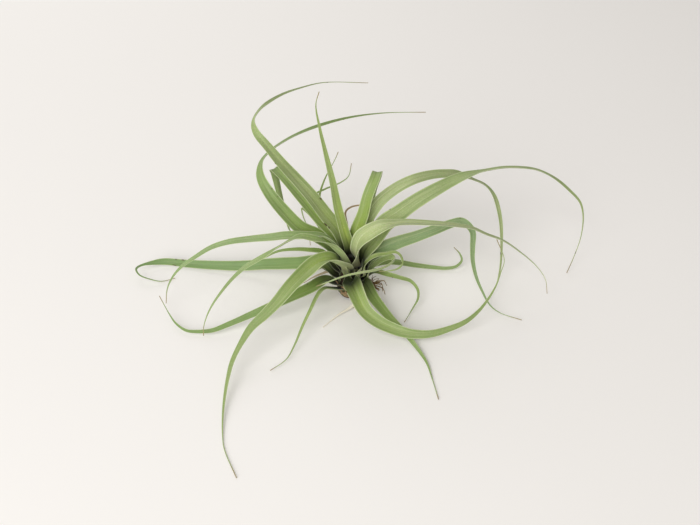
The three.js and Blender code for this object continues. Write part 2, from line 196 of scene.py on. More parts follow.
bpy.ops.object.select_all(action="DESELECT")
bpy.ops.mesh.primitive_circle_add(vertices=STEM_SIDES, radius=STEM_OUTLINE[0][0] * MM, fill_type="NGON")
core = bpy.context.object
bpy.ops.object.mode_set(mode="EDIT")
bpy.ops.mesh.select_all(action="SELECT")
rings = STEM_OUTLINE + [STEM_POINT]
for (radius, height), (next_radius, next_height) in zip(rings, rings[1:]):
    rise = (next_height - height) * MM
    bpy.ops.mesh.extrude_region_move(TRANSFORM_OT_translate={"value": (0, 0, rise)})
    shrink = next_radius / radius
    bpy.ops.transform.resize(value=(shrink, shrink, 1), center_override=(0, 0, next_height * MM))
bpy.ops.mesh.select_all(action="SELECT")
bpy.ops.mesh.normals_make_consistent(inside=False)
bpy.ops.object.mode_set(mode="OBJECT")
bpy.ops.object.shade_smooth_by_angle(angle=STEM_SMOOTH_ANGLE)
core.data.materials.append(woody_stem_bark())

stub_material = papery_stub()
stub_rng = random.Random(7)
stubs = []
for row in range(STUB_ROWS):
    height = LOWEST_ROW + row * ROW_RISE
    stagger = 0.5 * (row % 2)
    for place in range(STUBS_IN_ROW):
        bearing = 2 * math.pi * (place + stagger) / STUBS_IN_ROW
        bearing += stub_rng.uniform(-BEARING_SCATTER, BEARING_SCATTER)
        bpy.ops.object.select_all(action="DESELECT")
        bpy.ops.mesh.primitive_grid_add(x_subdivisions=4, y_subdivisions=4, size=1)
        stub = bpy.context.object
        length = STUB_LENGTH * stub_rng.uniform(1 - LENGTH_SCATTER, 1 + LENGTH_SCATTER)
        for vertex in stub.data.vertices:
            across, along = vertex.co.x, vertex.co.y + 0.5
            width = STUB_WIDTH * (1 - STUB_TAPER * along ** 2)
            vertex.co = (across * width, STUB_FLARE * along - STUB_BOW * across ** 2, along * length)
        solidify = stub.modifiers.new("paper", "SOLIDIFY")
        solidify.thickness = STUB_THICKNESS
        solidify.offset = 0
        only(stub)
        bpy.ops.object.modifier_apply(modifier="paper")
        out = (stem_radius(height) + STUB_STANDOFF) * MM
        stub.rotation_euler = (STUB_LEAN, 0, bearing - math.pi / 2)
        stub.location = (out * math.cos(bearing), out * math.sin(bearing), height * MM)
        settle(stub)
        stub.data.materials.append(stub_material)
        bpy.ops.object.shade_smooth()
        stubs.append(stub)
stem = join([core] + stubs, "stem_with_old_leaf_bases")
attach(stem, "root")
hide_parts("stem")

# ---------------------------------------------------------------------------------------------------
# Leaves. Each is one long channelled strap of soft green tissue under a skin of silver scales. It
# clasps the stem with a broad sheath, arches away, narrows and ends in a dried curling thread.

# What each leaf's values mean, in mm and degrees:
# bearing, height - where it leaves the stem; width - its broadest; midrib - the line its middle follows
# taper - how early it narrows: the power of the length still to go
# twist - pairs of a share of the length and how far the blade has turned about its midrib by there
# thins - the shares of the length between which it thins out, and how much of its width is left after
# fold, cup - how deep the channel is along the sheath and at the stem, as a share of the width
# crease - 1 folds the sheath to a sharp V, 2 bends it to a round channel
# sheath - its width at the stem, as a share of the blade's; pinch - the share of it nipped in just above
# foot, collar - how far the sheath runs on down the stem, and how far its rims are raised
# silver, blue, throat shade - how much bloom of scales, bluish green and painted shade deep in the sheath
# it has
# dry - the whole leaf has died
LEAVES = {
    "leaf_rear_left_tall": dict(bearing=135, height=26.6, width=12, taper=1.2,
        twist=((0.4, 0), (0.49, -55), (0.6, 10)), thins=(0.36, 0.52, 0.6),
        silver=0.42, blue=0.12,
        midrib=[(-4.8, 7.3, 38), (-8.6, 9, 48), (-16, 9, 60), (-25, 8, 76), (-34, 7, 90),
                (-43, 5, 104), (-51, 8, 114), (-58, 14, 121), (-60, 22, 124), (-56, 38, 124),
                (-46, 60, 120), (-34, 80, 114), (-17, 102, 106), (13, 119, 96)]),
    "leaf_rear_left_folded": dict(bearing=134, height=23.2, width=11.5, taper=0.95,
        silver=0.14, blue=0.2,
        midrib=[(-6.5, 9.2, 37), (-21.5, 16, 53), (-32, 23, 63.4), (-45, 34, 73.6), (-51, 42, 74),
                (-51, 46, 68), (-49, 47, 52), (-46, 54, 26), (-44, 60, 8), (-42, 68, 0.8)]),
    "leaf_rear_left_swept": dict(bearing=140, height=19.2, width=12, taper=1.15,
        twist=((0.25, -10), (0.4, -65), (0.7, 0)), thins=(0.26, 0.42, 0.68),
        silver=0.17, blue=0.25,
        midrib=[(-13, 10, 33), (-22, 11, 41), (-33, 11, 48), (-44, 16, 58), (-53, 22, 68),
                (-59, 31, 76), (-59, 41, 80), (-54, 51, 82), (-41, 68, 82), (-23, 88, 79),
                (0, 108, 74), (26, 124, 68), (57, 135, 62)]),
    "leaf_centre_upright": dict(bearing=110, height=29, width=8.5, taper=0.95,
        silver=0.28, blue=0.0,
        midrib=[(-1, 3.5, 38), (-4, 6, 50), (-8, 7, 68), (-11, 7, 88), (-15, 11, 106),
                (-19, 16, 124), (-21, 22, 136), (-19, 27, 142)]),
    "leaf_rear_thin_straight": dict(bearing=103, height=18.5, width=4, taper=0.9,
        silver=0.21, blue=0.2,
        midrib=[(-16, 29, 38), (-21, 37, 52), (-18, 43, 63), (-10, 53, 75), (-8, 57, 78)]),
    "leaf_rear_thin_curl": dict(bearing=112, height=15, width=3, taper=0.7,
        silver=0.24, blue=0.2,
        midrib=[(-19, 31, 34), (-25, 39, 44), (-25, 45, 50), (-17, 46, 55), (-6, 47, 60),
                (-1, 50, 63), (1, 55, 70)]),
    "leaf_rear_dry_curl": dict(bearing=88, height=16, width=2.4, taper=0.6,
        silver=0.14, blue=0.0, dry=True,
        midrib=[(-2, 34, 32), (-3, 37, 42), (1, 40, 44), (12, 42, 44), (19, 42, 40)]),
    "leaf_rear_hanging": dict(bearing=136, height=14.6, width=3.2, taper=0.8,
        silver=0.42, blue=0.3,
        midrib=[(-21, 32, 32), (-30, 37, 42), (-33, 38, 44), (-32, 36, 38), (-29, 36, 28),
                (-28, 35, 14)]),
    "leaf_rear_right_upright": dict(bearing=60, height=26.5, width=10.5, taper=0.85,
        silver=0.2, blue=0.1,
        midrib=[(3.7, 7, 38), (5.2, 9, 48), (9, 11, 60), (12, 15, 72), (16, 21, 80), (18, 28, 81),
                (18, 35, 72), (16, 41, 58), (15, 46, 44), (16, 54, 22), (18, 62, 6),
                (19, 72, 0.8)]),
    "leaf_right_arched": dict(bearing=86, height=22, width=10.5, taper=1.05,
        twist=((0.45, 0), (0.57, -55), (0.68, 0)),
        silver=0.58, blue=0.2,
        midrib=[(3.2, 13.4, 36), (7.2, 14, 46), (13, 14.6, 57), (20, 18, 66), (30, 23, 72),
                (41, 27, 76), (53, 34, 75), (64, 40, 72), (73, 45, 68), (84, 47, 62), (93, 47, 57),
                (99, 43, 51), (104, 36, 36), (105, 24, 19), (104, 15, 10), (100, 2, 4),
                (91, -14, 2.5)]),
    "leaf_right_long": dict(bearing=28, height=21, width=15, taper=1.45,
        twist=((0.14, 40), (0.32, 42), (0.47, -28), (0.6, -10), (0.8, 60)),
        silver=0.45, blue=0.2,
        midrib=[(10.1, 4.3, 33.5), (15.8, 6.9, 42), (23, 12, 51), (32, 15, 57), (42, 19, 63),
                (56, 25, 69), (68, 31, 72), (79, 35, 74), (101, 43, 74), (115, 48, 71),
                (128, 51, 67), (141, 51, 60), (153, 50, 50), (161, 49, 41), (164, 46, 31),
                (163, 39, 18), (158, 30, 7), (152, 19, 2)]),
    "leaf_front_right_silver": dict(bearing=334, height=25.2, width=13, taper=1.15, fold=0.4,
        twist=((0.1, 55), (0.18, 88), (0.3, 32)),
        silver=0.68, blue=0.1, throat_shade=0.1, sheath=0.7, foot=2, crease=1.05,
        midrib=[(5.6, -3.6, 32), (5.4, -3.6, 38.5), (6, -3.2, 45), (8.2, -2.4, 50.6),
                (12.6, -1.8, 54.8), (20.4, -1, 58.4), (28.5, 0, 59.6), (38, 0.6, 60), (55, 1, 59),
                (69, 3, 56), (80, 4, 53), (90, 4, 48), (101, 4, 43), (113, 2, 35), (125, -1, 25),
                (132, -3, 15), (134, -6, 5)]),
    "leaf_right_folded": dict(bearing=17, height=16.5, width=12, taper=1.25,
        twist=((0.14, 40), (0.45, 45), (0.6, 65)),
        silver=0.32, blue=0.8,
        midrib=[(13, 5.5, 28), (23, 8.4, 33), (33, 10, 37), (44, 12, 40), (56, 14, 44),
                (67, 18, 46), (75, 21, 46), (80, 20, 43), (83, 19, 38), (83, 13, 31), (83, 7, 24),
                (85, -2, 17), (89, -9, 10), (94, -18, 5), (100, -23, 3), (114, -29, 2)]),
    "leaf_right_low": dict(bearing=45, height=11, width=5.5, taper=0.6,
        twist=((0.25, 50), (0.8, 50), (1, 0)),
        silver=0.28, blue=0.4,
        midrib=[(21, 21, 10), (32, 26, 6), (47, 26, 3), (59, 25, 2), (68, 24, 2), (75, 25, 3),
                (79, 29, 5), (78, 34, 7), (74, 39, 9)]),
    "leaf_right_looped": dict(bearing=348, height=13, width=5, taper=0.55,
        twist=((0.32, 75),),
        silver=0.45, blue=0.3,
        midrib=[(12.5, -2.2, 20), (17, 0.4, 25), (22.9, 4, 27.6), (27.5, 4, 29.4), (29.8, 0, 30.3),
                (27.2, -5, 30.4), (21.8, -10, 30.8), (15.8, -14, 32), (7.9, -18, 33.8),
                (0, -20, 33.6), (-7.8, -22, 32.3), (-15.7, -23, 29.3), (-22, -23, 26.5)]),
    "leaf_right_curled": dict(bearing=338, height=17.3, width=4.4, taper=0.75,
        twist=((0.4, 60),),
        silver=0.39, blue=0.2,
        midrib=[(9.7, -4.6, 28), (12.7, -3.4, 32.8), (17.4, -2.2, 35.4), (24.2, 0, 34.9),
                (29.5, 2, 34.8), (32.8, 1, 33.7), (34.7, -1.5, 31), (34, -4, 28), (30.7, -6, 26.7),
                (24.7, -7, 26), (19.3, -8, 26.5)]),
    "leaf_right_drooping": dict(bearing=18, height=10, width=4.4, taper=0.9,
        twist=((0.3, 35),),
        silver=0.28, blue=0.3,
        midrib=[(16.6, 4.3, 16), (25.5, 3.7, 14), (35.3, 2, 12), (41.5, 1.7, 9.5), (46, -4, 7),
                (46, -11, 5), (42, -19, 3), (36, -31, 2)]),
    "leaf_front_swept": dict(bearing=288, height=17, width=14, taper=1.55, fold=0.4,
        twist=((0.3, 0), (0.42, 30), (0.6, 20)),
        silver=0.3, blue=0.15, throat_shade=1.5, sheath=1.05, cup=0.2, pinch=0.5, collar=16,
        midrib=[(1, -13, 20.5), (2, -18.5, 21.8), (4.5, -26, 21), (10, -37, 17), (18.5, -43, 13),
                (30, -47, 10), (40, -48, 8), (52, -47, 7), (63, -44, 8), (75, -39, 10),
                (84, -32, 13), (91, -25, 18), (96, -19, 24), (99, -14, 31), (101, -10, 38),
                (96, -2, 49)]),
    "leaf_front_right_low": dict(bearing=318, height=11.5, width=10, taper=1.45,
        twist=((0.22, 45),),
        silver=0.14, blue=0.3,
        midrib=[(9.8, -8, 16.5), (11.8, -10.6, 15.2), (14.4, -14.4, 12.5), (18.6, -20, 9.5),
                (27.2, -32, 6), (37, -44, 3), (44, -56, 1.5), (49, -68, 1), (51, -79, 0.8),
                (54, -98, 0.8)]),
    "leaf_front_left_broad": dict(bearing=238, height=23.6, width=16, taper=1.75, fold=0.4,
        twist=((0.1, -23), (0.2, -52), (0.38, -50), (0.55, -25)),
        silver=0.3, blue=0.12, throat_shade=0.5, sheath=0.6, foot=1.5, crease=1.2,
        midrib=[(-5.2, -8.3, 30.3), (-8.4, -10.2, 35), (-13.5, -11.4, 38.6), (-20.6, -15, 39.4),
                (-27, -20, 38.2), (-37, -32, 35.6), (-46, -42, 30), (-54, -49, 25), (-62, -55, 20),
                (-68, -64, 15), (-73, -75, 10), (-75, -87, 7), (-76, -99, 4), (-76, -112, 2),
                (-75, -125, 1), (-73, -136, 0.8), (-64, -157, 0.8)]),
    "leaf_left_low": dict(bearing=205, height=11, width=9.5, taper=1.15,
        twist=((0.2, -45),),
        silver=0.05, blue=0.35,
        midrib=[(-16, -3, 14), (-27, -12, 15), (-40, -20, 14), (-53, -27, 12), (-66, -32, 9),
                (-79, -37, 6), (-90, -41, 4), (-99, -41, 3), (-107, -40, 3), (-114, -35, 4),
                (-119, -28, 5), (-128, -13, 9)]),
    "leaf_left_flat": dict(bearing=160, height=12, width=9.5, taper=0.55,
        twist=((0.18, -48), (0.72, -48), (0.85, -10)), thins=(0.7, 0.8, 0.4),
        silver=0.05, blue=0.55,
        midrib=[(-21, 11, 18), (-36, 13, 16), (-56, 18, 11), (-76, 22, 6), (-96, 25, 4),
                (-116, 28, 3), (-131, 29, 4), (-141, 26, 5), (-147, 22, 6), (-149, 17, 7),
                (-146, 12, 6), (-139, 10, 4), (-131, 10, 2), (-122, 14, 1.5)]),
    "leaf_left_arched": dict(bearing=199, height=27.2, width=7.5, taper=0.8,
        twist=((0.12, 0), (0.32, -78)),
        silver=0.3, blue=0.5,
        midrib=[(-6, -1, 35.5), (-10.4, 0.1, 43), (-18, 4, 46.5), (-29, 3, 48), (-41, 1, 50),
                (-52, -1, 50), (-65, -2, 49.3), (-79, -4, 48.5), (-91, -4, 43.8), (-101, -6, 38),
                (-111, -8, 31), (-118, -10, 23), (-122, -13, 15), (-123, -18, 7)]),
    "leaf_left_over": dict(bearing=261, height=26.8, width=6.2, taper=0.85,
        twist=((0.12, 0), (0.28, -92), (0.41, -30), (0.56, -100)),
        silver=0.3, blue=0.35,
        midrib=[(-3.2, -5.9, 34), (-6.8, -4.2, 38.8), (-11, -3.8, 43.3), (-17, -5, 49),
                (-25, -6, 53), (-32, -7, 55), (-39, -10, 54), (-45, -13, 52), (-53, -16, 48),
                (-61, -18, 44), (-68, -20, 40), (-76, -24, 34), (-83, -30, 28), (-89, -35, 21),
                (-93, -39, 14), (-95, -43, 8), (-95, -46, 4)]),
    "leaf_left_short": dict(bearing=165, height=17.5, width=4.6, taper=0.85,
        twist=((0.3, -30),),
        silver=0.21, blue=0.3,
        midrib=[(-18, 10, 28), (-28, 8, 32), (-38, 6, 34), (-48, 4, 34), (-57, 1, 31),
                (-67, -3, 27)]),
    "leaf_left_tucked": dict(bearing=190, height=15, width=5.5, taper=0.8,
        twist=((0.5, -35),),
        silver=0.24, blue=0.3,
        midrib=[(-18, 2, 22), (-24, 0, 21), (-32, -5, 17), (-39, -9, 12)]),
    "leaf_left_withered": dict(bearing=140, height=7, width=4.5, taper=0.8,
        silver=0.3, blue=0.0, dry=True,
        midrib=[(-14, 12, 9), (-19, 11, 8), (-26, 9, 6), (-32, 6, 4)]),
    "leaf_front_left_small": dict(bearing=230, height=9.5, width=3.8, taper=0.9,
        silver=0.32, blue=0.2,
        midrib=[(-12, -12, 14.5), (-16.6, -15, 17.4), (-19.8, -19, 18), (-22.7, -25, 17),
                (-25.6, -32, 14.6), (-30.5, -42, 9.5), (-36, -56, 4), (-40.6, -66, 2.4),
                (-50, -75, 2)]),
    "leaf_front_straw": dict(bearing=300, height=4, width=2, taper=0.8,
        silver=1.0, blue=0.0, dry=True,
        midrib=[(5, -12, 4), (0, -17, 2), (-7, -23, 2), (-13, -29, 1), (-18, -35, 1)]),
}

# How a leaf starts at the stem, in mm. A leaf that starts low leans out more than one that starts high.
ROOT_CLEARANCE = 0.95
NECK_LENGTH = 4
NECK_RISE = 2.5
LEAN_AT_FOOT = 1.4
LEAN_LOST_OVER = 30
LEAST_LEAN = 0.35
FOOT_LENGTH = 6
FOOT_LOWEST = 1.2
FOOT_CLEARANCE = 0.4
# The sheath: its width at the stem as a share of the blade's, and the rest in mm.
SHEATH_WIDTH = 0.65
SHEATH_NARROWEST = 4.0
SHEATH_LENGTH = 22
PINCH_AT = 7
PINCH_REACH = 4
CUP_LENGTH = 12
COLLAR_START = -3
COLLAR_END = 13
# The channel at the sheath and from 45 mm on: its depth as a share of the width, and its crease.
SHEATH_CHANNEL = 0.27
BLADE_CHANNEL = 0.15
SHEATH_CREASE = 1.6
BLADE_CREASE = 1.15
CHANNEL_LENGTH = 45
# Thickness and the narrowest width, in mm. A blade loses a share of its thickness towards its edge, and
# where it is narrow it is no thicker than a thread's thickness and a share of its width together.
BLADE_THICKNESS = 1.0
TAIL_THICKNESS = 0.42
EDGE_THICKNESS = 0.22
EDGE_THINNING = 0.8
THREAD_THICKNESS = 0.25
THICKNESS_TO_WIDTH = 0.35
TIP_WIDTH = 0.5
# Uneven growth: ripples that come again every 2 pi times these lengths in mm and start anywhere in a
# turn, and their heights as shares of the width.
WIDTH_RIPPLES = (5, 9, 17)
LIP_RIPPLES = (4, 7, 13)
WIDTH_RIPPLE = 0.03
LIP_RIPPLE = 0.02
FULL_TURN = 6.3
# The mesh: a station every 2.4 mm of the midrib, where a radian of bend counts as 12 mm more.
CURVE_STEPS = 32
STATION_SPACING = 2.4
FEWEST_STATIONS = 16
BEND_WEIGHT = 12
STRAIGHT = 1e-12
ACROSS = 13
BLADE_SMOOTH_ANGLE = math.radians(60)
MM_TO_CM = 0.1

LEAF_GREEN = "#869B4F"
# Yellow-green near the stem: partly young tissue, partly a painted glow of light through the thin leaf.
YOUNG_GREEN_AND_GLOW = "#90A62C"
BLUE_GREEN = "#78996F"
VEIN_GREEN = "#657B38"
SHADE_GREEN = "#678140"
# Painted shade for the deep throat of the sheath and its groove, where little light reaches.
PAINTED_THROAT_SHADE = "#2A3608"
SCALE_SILVER = "#C3C99C"
MARGIN_PALE = "#CFD5AA"
SHEATH_OLIVE = "#7A734F"
# Painted shade on the sheath's foot, down in the hollow at the stem.
PAINTED_FOOT_SHADE = "#1F1A10"
DRY_THREAD = "#9C8460"
SPOT_BROWN = "#4E3A20"
DEAD_BROWN = "#8B6E48"
DEAD_STRAW = "#B49B72"
DEAD_BLOTCH = "#6A4E30"
BLEACHED_STRAW = "#EAE2D0"
# Repeats to the cm, across and along the blade. Veins lie about 0.6 mm apart and run on for 3 cm before
# they change. The folds that the blade had in its bud leave broader streaks, 2 or 3 mm apart.
BLADE_LINES = {"veins": (17, 0.33, 1), "streaks": (4, 0.12, 1)}
# Repeats to the metre, and the detail. A scale is a third of a millimetre wide, too fine to show, so
# clumps of them are drawn at about 1 mm. Patches of shade are 17 mm across and nicks 6 mm apart.
BLADE_CLOUDS = {"scales": (1100.0, 5.0), "patches": (60.0, 3.0), "spots": (160.0, 1.0)}


def smoothstep(low, high, value):
    """0 below low and 1 above high, with a smooth S between."""
    share = np.clip((value - low) / (high - low), 0, 1)
    return share * share * (3 - 2 * share)


def smooth_route(points):
    """Closely spaced places on a smooth curve through the points, with no loops where they lie close."""
    points = [np.array(p, float) for p in points]
    ends = [2 * points[0] - points[1]] + points + [2 * points[-1] - points[-2]]
    share = np.linspace(0, 1, CURVE_STEPS, endpoint=False)[:, None]
    places = []
    for p0, p1, p2, p3 in zip(ends, ends[1:], ends[2:], ends[3:]):
        d0, d1, d2 = (math.sqrt(np.linalg.norm(b - a)) for a, b in ((p0, p1), (p1, p2), (p2, p3)))
        t1 = d1 * ((p1 - p0) / d0 - (p2 - p0) / (d0 + d1) + (p2 - p1) / d1)
        t2 = d1 * ((p2 - p1) / d1 - (p3 - p1) / (d1 + d2) + (p3 - p2) / d2)
        square = (-3 * p1 + 3 * p2 - 2 * t1 - t2) * share ** 2
        places.append(p1 + t1 * share + square + (2 * p1 - 2 * p2 + t1 + t2) * share ** 3)
    return np.vstack(places + [points[-1][None]])


def leaf_midrib(leaf):
    """The stations along a leaf's midrib, in mm, how far each is from where the leaf leaves the stem,
    and the level direction in which it leaves."""
    bearing = math.radians(leaf["bearing"])
    outward = np.array([math.cos(bearing), math.sin(bearing), 0])
    root = outward * (stem_radius(leaf["height"]) + ROOT_CLEARANCE)
    root[2] = leaf["height"]
    foot_height = max(FOOT_LOWEST, leaf["height"] - leaf.get("foot", FOOT_LENGTH))
    foot = outward * (stem_radius(foot_height) + FOOT_CLEARANCE)
    foot[2] = foot_height
    lean = min(1, max(LEAST_LEAN, LEAN_AT_FOOT - leaf["height"] / LEAN_LOST_OVER))
    neck = root + outward * NECK_LENGTH * lean + np.array([0, 0, NECK_RISE])
    route = smooth_route([foot, root, neck] + leaf["midrib"])
    steps = np.diff(route, axis=0)
    length = np.linalg.norm(steps, axis=1)
    directions = steps / length[:, None]
    turns = np.arccos(np.clip(np.sum(directions[1:] * directions[:-1], axis=1), -1, 1))
    cost = np.concatenate([[0], np.cumsum(length + BEND_WEIGHT * np.concatenate([[0], turns]))])
    targets = np.linspace(0, cost[-1], max(FEWEST_STATIONS, round(cost[-1] / STATION_SPACING)))
    stations = np.stack([np.interp(targets, cost, route[:, axis]) for axis in range(3)], axis=1)
    from_foot = np.interp(targets, cost, np.concatenate([[0], np.cumsum(length)]))
    return stations, from_foot - np.linalg.norm(root - foot), outward


def leaf_twist(leaf, share):
    """How far the blade has turned about its own midrib at each share of its length, in radians."""
    turned = np.zeros(len(share))
    start, before = 0, 0
    for end, degrees in leaf.get("twist", ()):
        turned = turned + (degrees - before) * smoothstep(start, end, share)
        start, before = end, degrees
    return np.radians(turned)


def carried_normals(stations, tangents, outward, twist):
    """The direction that a leaf's upper side faces at each station, carried along and then twisted."""
    normal = np.array([0, 0, 1]) - outward
    normal -= tangents[0] * np.dot(normal, tangents[0])
    normals = [normal / np.linalg.norm(normal)]
    for i in range(1, len(stations)):
        step = stations[i] - stations[i - 1]
        n = normals[-1] - 2 * step * np.dot(step, normals[-1]) / np.dot(step, step)
        t = tangents[i - 1] - 2 * step * np.dot(step, tangents[i - 1]) / np.dot(step, step)
        turn = tangents[i] - t
        if np.dot(turn, turn) > STRAIGHT:
            n = n - 2 * turn * np.dot(turn, n) / np.dot(turn, turn)
        normals.append(n / np.linalg.norm(n))
    normals = np.array(normals)
    return normals * np.cos(twist)[:, None] + np.cross(tangents, normals) * np.sin(twist)[:, None]


def ripple(rng, along, lengths):
    """An uneven wave along a leaf, between -1 and 1."""
    return sum(np.sin(along / length + rng.uniform(0, FULL_TURN)) for length in lengths) / len(lengths)


def leaf_widths(leaf, from_root, share, rng):
    """The width of a leaf at each station, in mm."""
    clasp = max(SHEATH_NARROWEST / leaf["width"], leaf.get("sheath", SHEATH_WIDTH))
    sheath = clasp + (1 - clasp) * smoothstep(-FOOT_LENGTH, SHEATH_LENGTH, from_root)
    start, end, left = leaf.get("thins", (0, 1, 1))
    thinned = 1 - (1 - left) * smoothstep(start, end, share)
    width = np.maximum(TIP_WIDTH, leaf["width"] * sheath * thinned * (1 - share) ** leaf["taper"])
    width = width * (1 - leaf.get("pinch", 0) * np.exp(-((from_root - PINCH_AT) / PINCH_REACH) ** 2))
    return width * (1 + WIDTH_RIPPLE * ripple(rng, np.maximum(from_root, 0), WIDTH_RIPPLES))


def leaf_blade(name, leaf, seed):
    """One leaf: a flat grid bent along the midrib, then given its thickness and the maps of its skin."""
    rng = np.random.default_rng(seed)
    stations, from_root, outward = leaf_midrib(leaf)
    count = len(stations)
    tangents = np.gradient(stations, axis=0)
    tangents /= np.linalg.norm(tangents, axis=1)[:, None]
    along = np.maximum(from_root, 0)
    share = along / along[-1]
    normals = carried_normals(stations, tangents, outward, leaf_twist(leaf, share))
    sides = np.cross(tangents, normals)
    width = leaf_widths(leaf, from_root, share, rng)
    fold = leaf.get("fold", SHEATH_CHANNEL)
    past_sheath = smoothstep(0, CHANNEL_LENGTH, along)
    channel = fold + (BLADE_CHANNEL - fold) * past_sheath
    channel = channel + (leaf.get("cup", fold) - fold) * (1 - smoothstep(0, CUP_LENGTH, from_root))
    crease = leaf.get("crease", SHEATH_CREASE)
    crease = crease + (BLADE_CREASE - crease) * past_sheath
    rims = leaf.get("collar", 0) * (1 - smoothstep(COLLAR_START, COLLAR_END, from_root))
    middle = BLADE_THICKNESS + (TAIL_THICKNESS - BLADE_THICKNESS) * share
    middle = np.minimum(middle, THREAD_THICKNESS + width * THICKNESS_TO_WIDTH)
    lips = [ripple(rng, along, LIP_RIPPLES) for _ in range(2)]
    across = np.linspace(-1, 1, ACROSS)

    bpy.ops.object.select_all(action="DESELECT")
    bpy.ops.mesh.primitive_grid_add(x_subdivisions=ACROSS - 1, y_subdivisions=count - 1, size=1)
    blade = bpy.context.object
    blade.name = name + "_blade"
    mesh = blade.data
    mesh.name = blade.name
    grid = np.zeros((count, ACROSS, 3))
    depth = np.zeros((count, ACROSS))
    for k, s in enumerate(across):
        lip = lips[0] if s < 0 else lips[1]
        lift = width * channel * abs(s) ** crease + LIP_RIPPLE * width * lip * abs(s) ** 3
        grid[:, k] = stations + sides * (s * width / 2)[:, None] + normals * lift[:, None]
        grid[:, k, 2] += rims * s * s
        depth[:, k] = np.maximum(EDGE_THICKNESS, middle * (1 - EDGE_THINNING * s * s))
    mesh.vertices.foreach_set("co", (grid * MM).ravel())

    corners = np.array([loop.vertex_index for loop in mesh.loops])
    half_width = leaf["width"] / 2
    flat = np.stack([np.tile(across * half_width, count), np.repeat(along, ACROSS)], axis=1) * MM_TO_CM
    mesh.uv_layers[0].name = "blade"
    mesh.uv_layers[0].data.foreach_set("uv", flat[corners].ravel())
    fields = {"reach": np.repeat(share, ACROSS), "edge": np.tile(abs(across), count),
              "from_root": np.repeat(from_root, ACROSS)}
    for title in ("silver", "blue", "throat_shade"):
        fields[title] = np.full(count * ACROSS, leaf.get(title, 1))
    for title, values in fields.items():
        mesh.attributes.new(title, "FLOAT", "POINT").data.foreach_set("value", values)

    thickness = blade.vertex_groups.new(name="thickness")
    for index, value in enumerate((depth / BLADE_THICKNESS).ravel()):
        thickness.add([index], float(value), "REPLACE")
    solidify = blade.modifiers.new("tissue", "SOLIDIFY")
    solidify.thickness = BLADE_THICKNESS * MM
    solidify.offset = 0
    solidify.vertex_group = "thickness"
    bpy.ops.object.modifier_apply(modifier="tissue")
    blade.vertex_groups.clear()
    under = np.zeros(len(mesh.vertices))
    under[count * ACROSS:] = 1
    mesh.attributes.new("under", "FLOAT", "POINT").data.foreach_set("value", under)
    bpy.ops.object.shade_smooth_by_angle(angle=BLADE_SMOOTH_ANGLE)
    return blade


def leaf_fields(tree):
    """The maps that every leaf material reads: the blade's own values, its lines and its clouds."""
    fields = {}
    for title in ("reach", "edge", "under", "from_root", "silver", "blue", "throat_shade"):
        fields[title] = add_node(tree, "ShaderNodeAttribute", {"attribute_name": title}).outputs["Fac"]
    flat = add_node(tree, "ShaderNodeUVMap", {"uv_map": "blade"}).outputs[0]
    for title, repeats in BLADE_LINES.items():
        lines = add_node(tree, "ShaderNodeMapping", {}, {0: flat, 3: repeats}).outputs[0]
        fields[title] = add_node(tree, "ShaderNodeTexNoise", {},
                                 {"Vector": lines, "Scale": 1.0, "Detail": 2.0}).outputs[0]
    coords = add_node(tree, "ShaderNodeTexCoord").outputs["Object"]
    for title, (repeats, detail) in BLADE_CLOUDS.items():
        fields[title] = add_node(tree, "ShaderNodeTexNoise", {},
                                 {"Vector": coords, "Scale": repeats, "Detail": detail}).outputs[0]
    return fields


